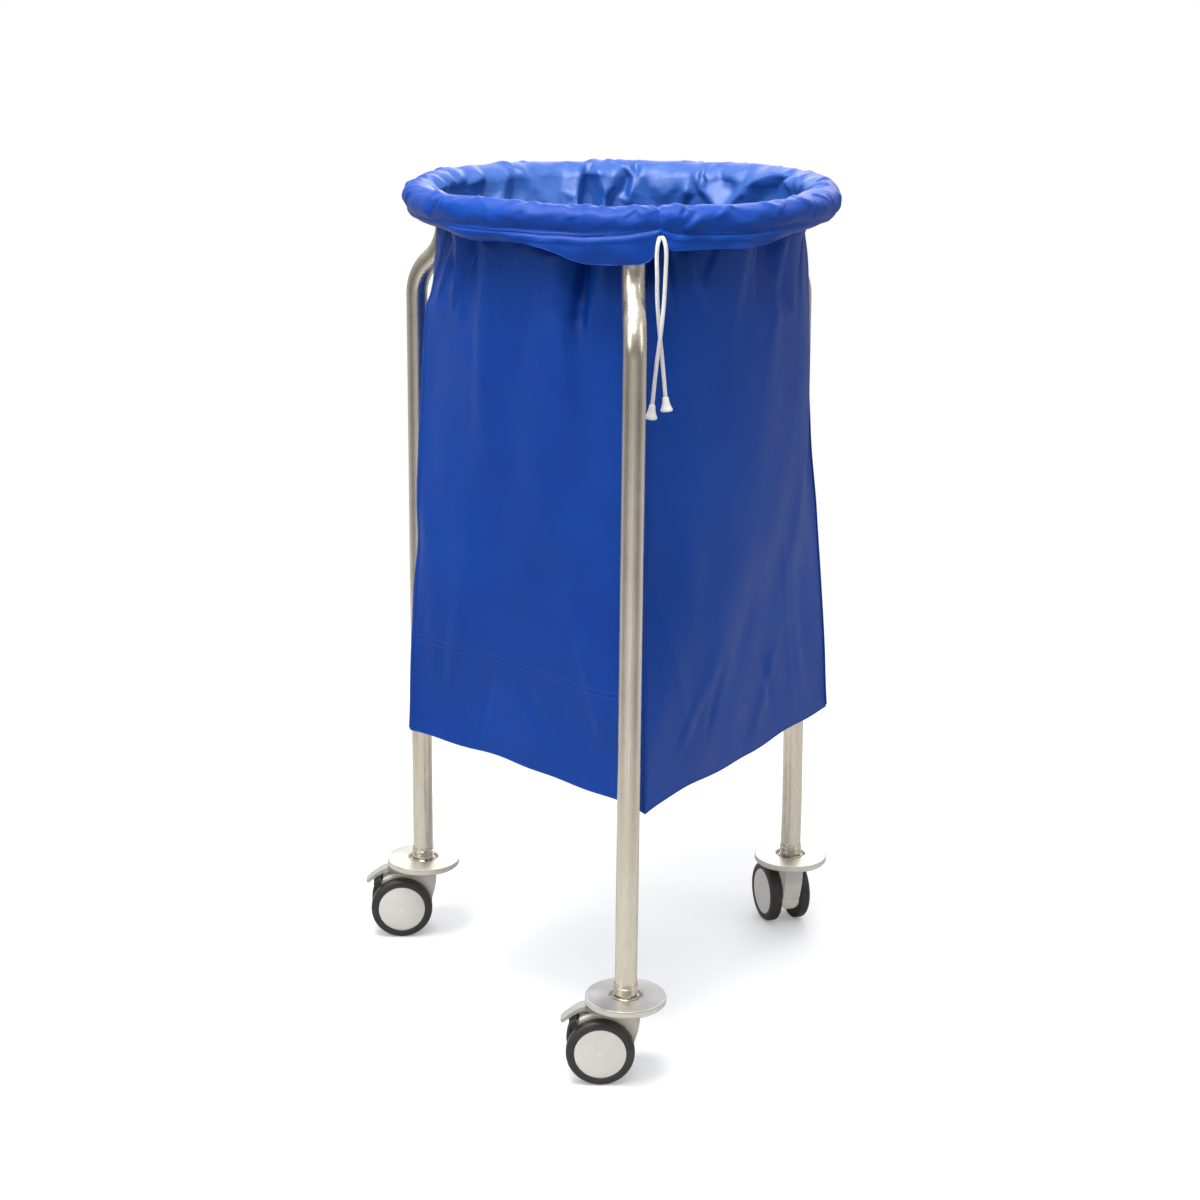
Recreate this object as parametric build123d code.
"""Linen trolley: a round hoop on three bent tube legs, a square-bottomed bag with a folded cuff
and drawstring hung on the hoop, and a braked twin-wheel swivel caster under a guard disc at the
foot of each leg.

Millimetres, +Z up. The origin is on the floor under the centre of the hoop. The front leg stands
on -Y and +X is to the right."""

from build123d import *
import math
import os

os.makedirs("parts", exist_ok=True)

# ---------------------------------------------------------------- driving dimensions
# Frame
TUBE_R = 12.5            # outside radius of the frame tube
TUBE_WALL = 1.5
TUBE_BORE_R = TUBE_R - TUBE_WALL
HOOP_R = 232.0           # centreline radius of the hoop
HOOP_Z = 960.0           # centreline height of the hoop
LEG_R = 273.5            # the feet stand on this radius
LEG_FOOT_Z = 115.5       # lower end of the leg tube
LEG_FOOT_RUN = 45        # upright length at the foot of a leaning leg
LEG_LEAN_R = 600.0       # bend from that upright into the lean
LEG_BEND_Z = 826.0       # where the S-bend under the hoop starts
LEG_BEND_R = 56.0        # centreline radius of each half of the S-bend
LEG_TOP_Z = 956.5        # top of the leg before it is coped to the hoop

# Guard disc and caster stem
DISC_R = 46.0
DISC_Z0, DISC_RIM_Z, DISC_TOP_Z = 92.0, 100.2, 101.0
DISC_EDGE = 1.6          # bevel of the disc's edges
DISC_HOLE_R = 18.6       # counterbore that takes the leg insert
DISC_HOLE_FLOOR_Z = 96.2
STEM_R = 6.0
STEM_FIT = 0.05          # radial clearance round the stem
FLANGE_R = 18.5
FLANGE_Z0 = DISC_Z0 - 2.6

# Caster
WHEEL_R = 39.0           # also the height of the axle
TRAIL = 28.0             # swivel axis to wheel axle
AXLE_X = -TRAIL
WHEEL_IN, WHEEL_OUT = 12.4, 27.0     # inner and outer faces of a wheel, from the mid-plane
TYRE_BED_R = 30.0
CAP_R = 29.3
AXLE_R = 4.0
BODY_TOP_Z = FLANGE_Z0 - 0.3
BODY_HALF = 11.6         # half thickness of the caster body between its wheels
WEB_R, HUB_R, HOOD_R = 35.0, 15.0, 42.5
REAR_X = AXLE_X - 30.5   # rear limit of the web and hood
REAR_Z = WHEEL_R + 26.0
UNDERCUT = math.radians(25)          # downward slope of the web's underside, from the axle forward
POCKET_FLOOR_Z = BODY_TOP_Z - 4.9    # pocket for the ball race
GROOVE_Z0, GROOVE_Z1 = 69.2, 70.8    # snap ring groove
PEDAL_PIN_X, PEDAL_PIN_Z, PEDAL_PIN_R = -33.0, 84.0, 2.0
SHOE_TILT = math.radians(42.0)       # the brake shoe's place round the axle, back from the top

# Bag
BAG_WALL = 1.4
CUFF_GAP = 1.1           # clearance between the hoop tube and the cloth cuff
CUFF_IN_R = TUBE_R + CUFF_GAP        # inner radius of the cuff's fold over the tube
CUFF_OUT_R = CUFF_IN_R + BAG_WALL
CUFF_INNER_Z = 940.0     # lower edge of the cuff inside the hoop
CUFF_LOW_Z = 922.0       # lower edge of the cuff's skirt, outside the hoop
BAG_LONG, BAG_SHORT = 386.0, 343.0   # sides of the rectangular base
BAG_BASE_TURN = math.radians(51.1)   # direction of the base's long side, from +X
BAG_SHIFT_X = 7.0        # the base hangs this far off the hoop's centre
BAG_BASE_Z = 330.0
BAG_TOP_Z = 950.0        # top edge of the side panels, lapped inside the cuff
BAG_TOP_R = 216.6        # and their outside radius there
BAG_WAIST_R = 209.5      # drawn in to this radius under the hoop
BAG_SEAMS = (4.3, 99.2, 181.0, 279.9)   # corner seams at the hoop, degrees round from the front
SEAM_GAP = 0.00012       # share of a panel's width left open at each seam
PANEL_SPANS = 12         # spline spans across a panel
HEM_Z = 941.0            # drawstring channel, round the outside of the cuff under the hoop
HEM_TUBE_R = 3.9
HEM_WALL = 1.0
HEM_R = HOOP_R + CUFF_OUT_R + HEM_TUBE_R + 0.05
HEM_OPENING, CORD_OPENING = 8, 4     # degrees left open in the channel and in the drawstring
CORD_R = 2.2
CORD_ANGLE = 7.5         # where the drawstring leaves the hem, degrees round from the front

# leg: (place round from -Y, anticlockwise from above, degrees;
#       how far it leans in over its straight length;
#       way its wheels trail, degrees from +X)
LEGS = {
    "front": (0.0, 0.0, 177.0),
    "right": (120.0, 13.0, 105.0),
    "left": (240.0, 0.0, 181.0),
}


# ---------------------------------------------------------------- helpers
def polar(radius, degrees):
    """A point at a radius from the axis, degrees round from -Y, anticlockwise from above."""
    angle = math.radians(degrees)
    return radius * math.sin(angle), -radius * math.cos(angle)


def save(shape, node):
    if isinstance(shape, list):
        shape = Compound(children=list(shape))
    export_step(shape, f"parts/{node}.step")


def polygon(points):
    return make_face(Polyline(*points, close=True))


def turned(points):
    """Solid of revolution about Z of a closed polygon of (radius, z) points."""
    return revolve(polygon([(r, 0, z) for r, z in points]), Axis.Z, 360)


def collar(r0, r1, z0, z1):
    return turned([(r0, z0), (r1, z0), (r1, z1), (r0, z1)])


def swept_ring(section, radius, z, degrees=360):
    """A section carried round Z, starting from +X."""
    return revolve(Plane.XZ * Pos(radius, z) * section, Axis.Z, degrees)


def tube_section(radius, wall):
    return Circle(radius) - Circle(radius - wall)


def slab(face, half):
    """A face drawn in (x, z), thickened by half to each side of the mid-plane."""
    return extrude(Plane.XZ * face, amount=half, both=True)


def cross_pin(x, z, radius, length):
    """Cylinder along Y, centred on the mid-plane."""
    return Pos(x, 0, z) * Rot(90, 0, 0) * Cylinder(radius, length)


def arc_points(x, y, radius, start, end, steps):
    angles = [math.radians(start + (end - start) * i / steps) for i in range(steps + 1)]
    return [(x + radius * math.cos(a), y + radius * math.sin(a)) for a in angles]


# ---------------------------------------------------------------- frame
def hoop():
    return swept_ring(tube_section(TUBE_R, TUBE_WALL), HOOP_R, HOOP_Z)


def bend_arc(start, from_angle, to_angle, radius):
    """Arc in XZ turning between two directions (radians from +Z towards -X), and its end."""
    side = 1 if to_angle > from_angle else -1
    centre_x = start[0] - side * radius * math.cos(from_angle)
    centre_z = start[2] - side * radius * math.sin(from_angle)

    def at(angle):
        return (centre_x + side * radius * math.cos(angle), 0,
                centre_z + side * radius * math.sin(angle))

    end = at(to_angle)
    return ThreePointArc(start, at((from_angle + to_angle) / 2), end), end


def leg_path(lean):
    """Centreline of a leg on +X, leaning in by lean between its foot and the S-bend."""
    edges = []
    point = (LEG_R, 0, LEG_FOOT_Z)
    tilt = 0.0
    if lean:
        run_end = (LEG_R, 0, LEG_FOOT_Z + LEG_FOOT_RUN)
        edges.append(Line(point, run_end))
        tilt = math.atan(lean / (LEG_BEND_Z - run_end[2]))
        edge, point = bend_arc(run_end, 0.0, tilt, LEG_LEAN_R)
        edges.append(edge)
    bend_x = point[0] - (LEG_BEND_Z - point[2]) * math.tan(tilt)
    bend_start = (bend_x, 0, LEG_BEND_Z)
    edges.append(Line(point, bend_start))
    # the two halves of the S-bend together bring the leg in to the hoop's radius
    bend = math.acos((math.cos(tilt) + 1 - (bend_x - HOOP_R) / LEG_BEND_R) / 2)
    edge, point = bend_arc(bend_start, tilt, bend, LEG_BEND_R)
    edges.append(edge)
    edge, point = bend_arc(point, bend, 0.0, LEG_BEND_R)
    edges.append(edge)
    edges.append(Line(point, (point[0], 0, LEG_TOP_Z)))
    return Wire(edges)


def leg(angle, lean):
    foot = Plane(origin=(LEG_R, 0, LEG_FOOT_Z), z_dir=(0, 0, 1))
    tube = sweep(foot * tube_section(TUBE_R, TUBE_WALL), path=leg_path(lean))
    tube = tube - swept_ring(Circle(TUBE_R + 0.02), HOOP_R, HOOP_Z)    # coped to the hoop
    tube = max(tube.solids(), key=lambda s: s.volume)
    return Rot(0, 0, angle - 90) * tube


def leg_insert():
    """Bush in the foot of the tube, with a ribbed collar that sits in the guard disc."""
    base_z = DISC_HOLE_FLOOR_Z
    bore_r = STEM_R + STEM_FIT
    rib_r = TUBE_R + 1.3
    rib_pitch = 2.9
    plug_r = TUBE_BORE_R - 0.02
    plug_top_z = LEG_FOOT_Z + 32.5
    points = [(bore_r, base_z), (rib_r + 1.6, base_z), (rib_r + 1.6, base_z + 3.6),
              (rib_r + 0.9, base_z + 4.2), (rib_r - 0.4, base_z + 4.3)]
    z = base_z + 4.9
    while z + rib_pitch < LEG_FOOT_Z:
        points += [(rib_r, z), (rib_r, z + 1.7), (rib_r - 0.7, z + 2.1), (rib_r - 0.7, z + 2.6)]
        z += rib_pitch
    points += [(rib_r - 0.5, z), (rib_r - 0.5, LEG_FOOT_Z), (plug_r, LEG_FOOT_Z),
               (plug_r, plug_top_z - 1.5), (TUBE_BORE_R - 1.5, plug_top_z), (bore_r, plug_top_z)]
    return turned(points)


def guard_disc():
    bore_r = STEM_R + 0.5
    return turned([
        (bore_r, DISC_Z0), (DISC_R - DISC_EDGE, DISC_Z0), (DISC_R, DISC_Z0 + DISC_EDGE),
        (DISC_R, DISC_RIM_Z - DISC_EDGE), (DISC_R - 0.45, DISC_RIM_Z - 0.4),
        (DISC_R - DISC_EDGE, DISC_RIM_Z), (DISC_HOLE_R + 1.0, DISC_TOP_Z),
        (DISC_HOLE_R, DISC_TOP_Z - 0.9), (DISC_HOLE_R, DISC_HOLE_FLOOR_Z),
        (bore_r, DISC_HOLE_FLOOR_Z),
    ])


def stem():
    """Fixed king pin on Z: threaded end up into the leg insert, flange against the disc, plain
    pin with a snap ring groove in the caster body."""
    bottom_z = 66.0
    groove_r = STEM_R - 1.0
    thread_pitch, thread_depth = 1.7, 0.9
    disc_face_z = DISC_Z0 - 0.02
    points = [(0, bottom_z), (STEM_R - 0.8, bottom_z), (STEM_R, bottom_z + 0.8),
              (STEM_R, GROOVE_Z0), (groove_r, GROOVE_Z0), (groove_r, GROOVE_Z1),
              (STEM_R, GROOVE_Z1), (STEM_R, FLANGE_Z0), (FLANGE_R, FLANGE_Z0),
              (FLANGE_R, disc_face_z), (STEM_R, disc_face_z)]
    z = DISC_HOLE_FLOOR_Z + 1.0
    points.append((STEM_R, z))
    while z < LEG_FOOT_Z + 18:
        points += [(STEM_R - thread_depth, z + thread_pitch / 2), (STEM_R, z + thread_pitch)]
        z += thread_pitch
    points += [(STEM_R - 1.0, z + 1.0), (0, z + 1.0)]
    return turned(points)


# ---------------------------------------------------------------- caster
# In its own frame: swivel axis on Z, wheels trailing towards -X, mid-plane on XZ.

# (x, z) side outline of the neck, from the king pin down between the wheels
NECK_OUTLINE = [
    (-16, BODY_TOP_Z - 3), (16.8, BODY_TOP_Z - 3), (16.4, 74), (14.8, 62),
    (11.4, 50), (8.6, 41), (-14, 41), (-22, 66),
]

# (radius, z) half section of the round neck below the disc
ROUND_NECK = [
    (0, 79.0), (15.0, 79.0), (20.5, BODY_TOP_Z - 4.5),
    (21.0, BODY_TOP_Z - 1.2), (20.0, BODY_TOP_Z), (0, BODY_TOP_Z),
]


def nose_cut(z):
    """Corner pieces to take off the lower end of the tongue, leaving it round."""
    radius = BODY_HALF - 2.2
    offset = BODY_HALF - radius
    standing = (Align.CENTER, Align.CENTER, Align.MIN)
    block = Box(60, 2 * BODY_HALF + 2, radius, align=standing)
    rounding = Pos(0, 0, radius) * Rot(0, 90, 0) * Cylinder(radius, 62)
    middle = Box(62, 2 * offset, radius, align=standing)
    near = Pos(0, -offset, 0) * rounding
    far = Pos(0, offset, 0) * rounding
    return Pos(15.5, 0, z) * (block - middle - near - far)


def body_outline():
    """Side outline: a web and round hub between the wheels, an arched hood and a neck."""
    axle_place = Pos(AXLE_X, WHEEL_R)
    front_x = 60
    web_limit = polygon([
        (AXLE_X, WHEEL_R), (REAR_X, REAR_Z), (REAR_X, 92), (front_x, 92),
        (front_x, WHEEL_R - (front_x - AXLE_X) * math.tan(UNDERCUT)),
    ])
    web = ((axle_place * Circle(WEB_R)) & web_limit) + axle_place * Circle(HUB_R)
    hood = (axle_place * Circle(HOOD_R)) & (Pos(AXLE_X + 24, WHEEL_R + 42) * Rectangle(96, 44))
    hood_limit = polygon([
        (REAR_X, REAR_Z), (REAR_X, 90), (30, 90), (30, WHEEL_R + 12), (AXLE_X, WHEEL_R),
    ])
    hood = hood & hood_limit
    return web + hood + polygon(NECK_OUTLINE)


def caster_body():
    body = slab(body_outline(), BODY_HALF)
    body = body + turned(ROUND_NECK)
    # guards the rounding of the long side arcs: if it fails, they stay sharp
    try:
        edges = [
            e for e in body.edges().filter_by(GeomType.CIRCLE)
            if abs(abs(e.center().Y) - BODY_HALF) < 1e-3 and e.length > 30
        ]
        body = fillet(edges, 2.6)
    except Exception:
        pass
    body = body - nose_cut(WHEEL_R - WEB_R * math.sin(UNDERCUT) - 0.3)

    bore = Pos(0, 0, 65) * Cylinder(
        STEM_R + STEM_FIT, 40, align=(Align.CENTER, Align.CENTER, Align.MIN))
    groove = collar(STEM_R - 1, STEM_R + 1.4, GROOVE_Z0, GROOVE_Z1)
    pocket = collar(8.6, 15.4, POCKET_FLOOR_Z, BODY_TOP_Z + 1)
    axle_bore = cross_pin(AXLE_X, WHEEL_R, AXLE_R + 0.02, 80)
    pedal_slot = slab(
        polygon([(-45.5, 75.5), (-45.5, 96), (-25.0, 96), (-25.0, 78.0), (-30, 75.5)]), 6.2)
    # clears whatever stands proud of the hood's arc at the rear
    rear = polygon([(-75, 51), (-75, 96), (-43.5, 96), (-43.5, 51)])
    rear_cut = slab(rear - Pos(AXLE_X, WHEEL_R) * Circle(HOOD_R - 0.1), 14)
    pin_bore = cross_pin(PEDAL_PIN_X, PEDAL_PIN_Z, PEDAL_PIN_R + 0.02, 60)
    body = body - bore - groove - pocket - axle_bore - pedal_slot - rear_cut - pin_bore
    return max(body.solids(), key=lambda s: s.volume)


def swivel_bearing():
    """Race and balls in the pocket of the body, and the snap ring on the king pin."""
    ball_r, ball_circle_r, ball_count = 2.1, 12, 12
    race = collar(8.7, 15.3, POCKET_FLOOR_Z + 0.02, POCKET_FLOOR_Z + 0.9)
    ball_z = POCKET_FLOOR_Z + 0.95 + ball_r
    balls = []
    for i in range(ball_count):
        angle = math.radians(360 / ball_count * i)
        x, y = ball_circle_r * math.cos(angle), ball_circle_r * math.sin(angle)
        balls.append(Pos(x, y, ball_z) * Sphere(ball_r))
    snap = swept_ring(Circle(0.6), STEM_R + 0.62, (GROOVE_Z0 + GROOVE_Z1) / 2, 330)
    return [race, *balls, snap]


def axle():
    """Axle pin with a clip ring near each end."""
    clip = Cylinder(7.2, 0.8) - Cylinder(AXLE_R + 0.01, 2)
    clips = [Pos(AXLE_X, y, WHEEL_R) * Rot(90, 0, 0) * clip for y in (-22.9, 22.9)]
    return [cross_pin(AXLE_X, WHEEL_R, AXLE_R, 2 * 23.6), *clips]


def on_axle(points, side):
    """Revolve (radius, distance out from the mid-plane) points about the axle, on the -Y (-1)
    or +Y (1) side."""
    turn = Rot(90, 0, 0) if side < 0 else Rot(-90, 0, 0)
    return Pos(AXLE_X, 0, WHEEL_R) * turn * turned(points)


def tyre(side):
    inner_round, outer_round = 3.2, 5.4
    bed_r = TYRE_BED_R + 0.01
    lip_r = CAP_R + 0.25
    points = [(bed_r, WHEEL_IN), (WHEEL_R - inner_round, WHEEL_IN)]
    points += arc_points(WHEEL_R - inner_round, WHEEL_IN + inner_round, inner_round, -90, 0, 6)
    points += arc_points(WHEEL_R - outer_round, WHEEL_OUT - outer_round, outer_round, 0, 90, 9)
    points += [(CAP_R + 1.0, WHEEL_OUT), (lip_r, WHEEL_OUT - 0.7), (lip_r, 25.2), (bed_r, 25.2)]
    return on_axle(points, side)


def rim(side):
    bore_r = AXLE_R + 0.05
    return on_axle([
        (bore_r, WHEEL_IN), (TYRE_BED_R, WHEEL_IN), (TYRE_BED_R, 25.1), (27.4, 25.1),
        (27.4, 16.4), (10.5, 16.4), (10.0, 22.2), (bore_r, 22.2),
    ], side)


def wheel_cap(side):
    """Shallow domed cap with a rib that stands inside the rim."""
    back = 25.3
    return on_axle([
        (0, back), (25.4, back), (25.4, 20.0), (26.8, 20.0), (26.8, back), (CAP_R, back),
        (CAP_R, 26.1), (27.6, 26.6), (23, 26.95), (16, 27.3), (8, 27.52), (0, 27.6),
    ], side)


# (x, z) side outline of the tread plate: along the top to its free end and back underneath
TREAD_OUTLINE = [
    (PEDAL_PIN_X - 11.9, 88.8), (-50, 87.6), (-55, 85.0), (-61, 80.9), (-67, 76.4),
    (-72.0, 72.4), (-73.4, 70.4), (-73.0, 68.6), (-71.0, 68.0), (-65, 72.6),
    (-59, 77.4), (-53, 81.2), (-48, 83.2), (PEDAL_PIN_X - 11.9, 83.5),
]


def pedal():
    """Brake pedal: a tongue with an eye on the pin, widening into the tread plate behind."""
    width = 17
    tongue_end_x = PEDAL_PIN_X - 12.2
    eye = Pos(PEDAL_PIN_X, PEDAL_PIN_Z) * Circle(5.2)
    tongue = polygon([
        (PEDAL_PIN_X, 89.2), (tongue_end_x, 88.7), (tongue_end_x, 81.7), (PEDAL_PIN_X, 78.9),
    ])
    neck = slab(eye + tongue, 5.8)
    tread = slab(polygon(TREAD_OUTLINE), width / 2)
    # round the free end in plan; the box keeps the end by the tongue square
    plan = Plane.XY * (Pos(-54.5, 0) * RectangleRounded(39.5, width, 6.5))
    blank = extrude(plan, amount=100)
    square_end = Pos(-50, 0, 0) * Box(
        24, width, 200, align=(Align.CENTER, Align.CENTER, Align.MIN))
    tread = tread & (blank + square_end)
    body = neck + tread
    body = body - cross_pin(PEDAL_PIN_X, PEDAL_PIN_Z, PEDAL_PIN_R + 0.05, 60)
    return max(body.solids(), key=lambda s: s.volume)


def brake_shoe():
    """Bridge under the pedal, clear of the hood, with a foot over each tread."""
    def face(points):
        """Polygon of (distance along the tread, radius from the axle) points."""
        cos, sin = math.cos(SHOE_TILT), math.sin(SHOE_TILT)
        return polygon([
            (AXLE_X - r * sin + along * cos, WHEEL_R + r * cos + along * sin)
            for along, r in points
        ])

    half_width, foot_inner = 22.0, 12.7
    bridge = slab(face([(-5, 46.1), (5, 46.1), (5, 47.9), (-5, 47.9)]), half_width)
    foot = face([(-3.6, 41.2), (-3.0, 40.8), (3.0, 40.8), (3.6, 41.2), (5, 46.2), (-5, 46.2)])
    feet = slab(foot, half_width) - slab(foot, foot_inner)
    return bridge + feet


def pedal_pin():
    return cross_pin(PEDAL_PIN_X, PEDAL_PIN_Z, PEDAL_PIN_R, 2 * BODY_HALF - 1.0)


# ---------------------------------------------------------------- bag
# Levels of a side panel: (share of the drop, share of the way from circle to base rectangle,
# outside radius of the circle)
PANEL_PROFILE = (
    (0.0, 0.0, BAG_TOP_R),
    (0.045, 0.0, BAG_WAIST_R),
    (0.30, 0.39, BAG_WAIST_R),
    (0.60, 0.635, BAG_WAIST_R),
    (1.0, 1.0, BAG_WAIST_R),
)


def base_corner(i, inset=0.0):
    """Corner i of the base rectangle: 0 front, 1 right, 2 back, 3 left."""
    long, short = BAG_LONG / 2 - inset, BAG_SHORT / 2 - inset
    u, v = ((-long, -short), (long, -short), (long, short), (-long, short))[i % 4]
    cos, sin = math.cos(BAG_BASE_TURN), math.sin(BAG_BASE_TURN)
    return BAG_SHIFT_X + u * cos - v * sin, u * sin + v * cos


def panel_row(quarter, level, inset):
    """Points across a panel at one level of PANEL_PROFILE, inset from its outside."""
    drop, blend, radius = level
    seam0 = BAG_SEAMS[quarter]
    seam1 = BAG_SEAMS[(quarter + 1) % 4]
    if seam1 < seam0:
        seam1 += 360
    x0, y0 = base_corner(quarter, inset)
    x1, y1 = base_corner(quarter + 1, inset)
    z = BAG_TOP_Z + (BAG_BASE_Z - BAG_TOP_Z) * drop
    points = []
    for i in range(PANEL_SPANS + 1):
        share = SEAM_GAP + (1 - 2 * SEAM_GAP) * i / PANEL_SPANS
        round_x, round_y = polar(radius - inset, seam0 + (seam1 - seam0) * share)
        base_x, base_y = x0 + (x1 - x0) * share, y0 + (y1 - y0) * share
        points.append((round_x + (base_x - round_x) * blend,
                       round_y + (base_y - round_y) * blend, z))
    return points


def panel(quarter):
    """One of four side panels, drawn in under the hoop and widening in ruled bands."""
    faces = []
    for level in PANEL_PROFILE:
        outer = panel_row(quarter, level, 0.0)
        inner = panel_row(quarter, level, BAG_WALL)
        outer_edge, inner_edge = Spline(*outer), Spline(*reversed(inner))
        faces.append(make_face(Wire([
            outer_edge, Line(outer[-1], inner[-1]), inner_edge, Line(inner[0], outer[0]),
        ])))
    return loft(faces, ruled=True)


def bag_base():
    face = polygon([(*base_corner(i), BAG_BASE_Z - 0.05) for i in range(4)])
    return extrude(face, amount=BAG_WALL, dir=(0, 0, -1))


def cuff():
    """Cloth folded out over the hoop: an inverted U, open below."""
    def at(offset, z):
        return (HOOP_R + offset, 0, z)

    outer, inner = CUFF_OUT_R, CUFF_IN_R
    section = Wire([
        Line(at(-outer, CUFF_INNER_Z), at(-outer, HOOP_Z)),
        ThreePointArc(at(-outer, HOOP_Z), at(0, HOOP_Z + outer), at(outer, HOOP_Z)),
        Line(at(outer, HOOP_Z), at(outer, CUFF_LOW_Z)),
        Line(at(outer, CUFF_LOW_Z), at(inner, CUFF_LOW_Z)),
        Line(at(inner, CUFF_LOW_Z), at(inner, HOOP_Z)),
        ThreePointArc(at(inner, HOOP_Z), at(0, HOOP_Z + inner), at(-inner, HOOP_Z)),
        Line(at(-inner, HOOP_Z), at(-inner, CUFF_INNER_Z)),
        Line(at(-inner, CUFF_INNER_Z), at(-outer, CUFF_INNER_Z)),
    ])
    return revolve(make_face(section), Axis.Z, 360)


def hem_ring(section, opening):
    """Ring along the hem with an opening, in degrees, centred where the drawstring leaves."""
    ring = swept_ring(section, HEM_R, HEM_Z, 360 - opening)
    return Rot(0, 0, CORD_ANGLE - 90 + opening / 2) * ring


def cord_tail(side):
    """Hanging end of the drawstring, built at the front on the -X (-1) or +X (1) side. Returns
    it with its end point and direction there."""
    y = -HEM_R
    points = [
        (side * 5.0, y, HEM_Z - 0.6),
        (side * 4.7, y - 0.8, HEM_Z - 14),
        (side * 4.4, y - 1.4, HEM_Z - 34),
        (side * 3.2, y - side * 1.4 - 1, HEM_Z - 62),
        (0, y - side * 3.2 - 1, HEM_Z - 95),
        (-side * 4.0, y - side * 2.6 - 1, HEM_Z - 130),
        (-side * 7.5, y - 1, HEM_Z - 172 - side * 4),
    ]
    path = Spline(*points)
    start = Plane(origin=path @ 0, z_dir=path % 0)
    rope = sweep(start * Circle(CORD_R), path=path)
    exit_run = Pos(side * 5.2, y, HEM_Z) * Rot(0, 90, 0) * Cylinder(CORD_R + 0.1, 5.4)
    return rope + exit_run, points[-1], path % 1


# (radius, z) half section of the cord's end cap, z measured back up the cord from its end
BELL_PROFILE = [
    (0, 2.6), (3.0, 2.6), (3.6, 1.6), (4.0, -1.5), (5.4, -7.0),
    (6.4, -9.4), (6.3, -10.6), (5.6, -11.2), (0, -11.2),
]


def cord_bell(end, direction):
    """Bell-shaped cap on the end of the cord."""
    return Plane(origin=end, z_dir=-Vector(*direction)) * turned(BELL_PROFILE)


# ---------------------------------------------------------------- write the frame
save(hoop(), "hoop")
inserts = []
for name, (angle, lean, _) in LEGS.items():
    save(leg(angle, lean), f"leg_{name}")
    place = Pos(*polar(LEG_R, angle), 0)
    inserts.append(place * leg_insert())
    save(place * guard_disc(), f"guard_disc_{name}")
    save(place * stem(), f"caster_stem_{name}")
save(inserts, "leg_inserts")

# ---------------------------------------------------------------- write the casters
caster_parts = {
    "caster_body": caster_body(),
    "swivel_bearing": swivel_bearing(),
    "axle": axle(),
    "brake_pedal": pedal(),
    "brake_shoe": brake_shoe(),
    "pedal_pin": pedal_pin(),
}
for side, tag in ((-1, "a"), (1, "b")):
    caster_parts[f"tyre_{tag}"] = tyre(side)
    caster_parts[f"rim_{tag}"] = rim(side)
    caster_parts[f"wheel_cap_{tag}"] = wheel_cap(side)

for name, (angle, _, trail_angle) in LEGS.items():
    place = Pos(*polar(LEG_R, angle), 0) * Rot(0, 0, trail_angle - 180)
    for node, part in caster_parts.items():
        placed = [place * s for s in part] if isinstance(part, list) else place * part
        save(placed, f"{node}_{name}")

# ---------------------------------------------------------------- write the bag
for i, tag in enumerate(("front_right", "back_right", "back_left", "front_left")):
    save(panel(i), f"bag_panel_{tag}")
save(bag_base(), "bag_base")
save(cuff(), "bag_cuff")
save(hem_ring(tube_section(HEM_TUBE_R, HEM_WALL), HEM_OPENING), "bag_hem")
save(hem_ring(Circle(CORD_R), CORD_OPENING), "drawstring")
cord_turn = Rot(0, 0, CORD_ANGLE)
for side, tag in ((-1, "left"), (1, "right")):
    rope, end, direction = cord_tail(side)
    bell = cord_bell(end, direction)
    save(cord_turn * (rope - bell), f"cord_tail_{tag}")
    save(cord_turn * bell, f"cord_end_{tag}")
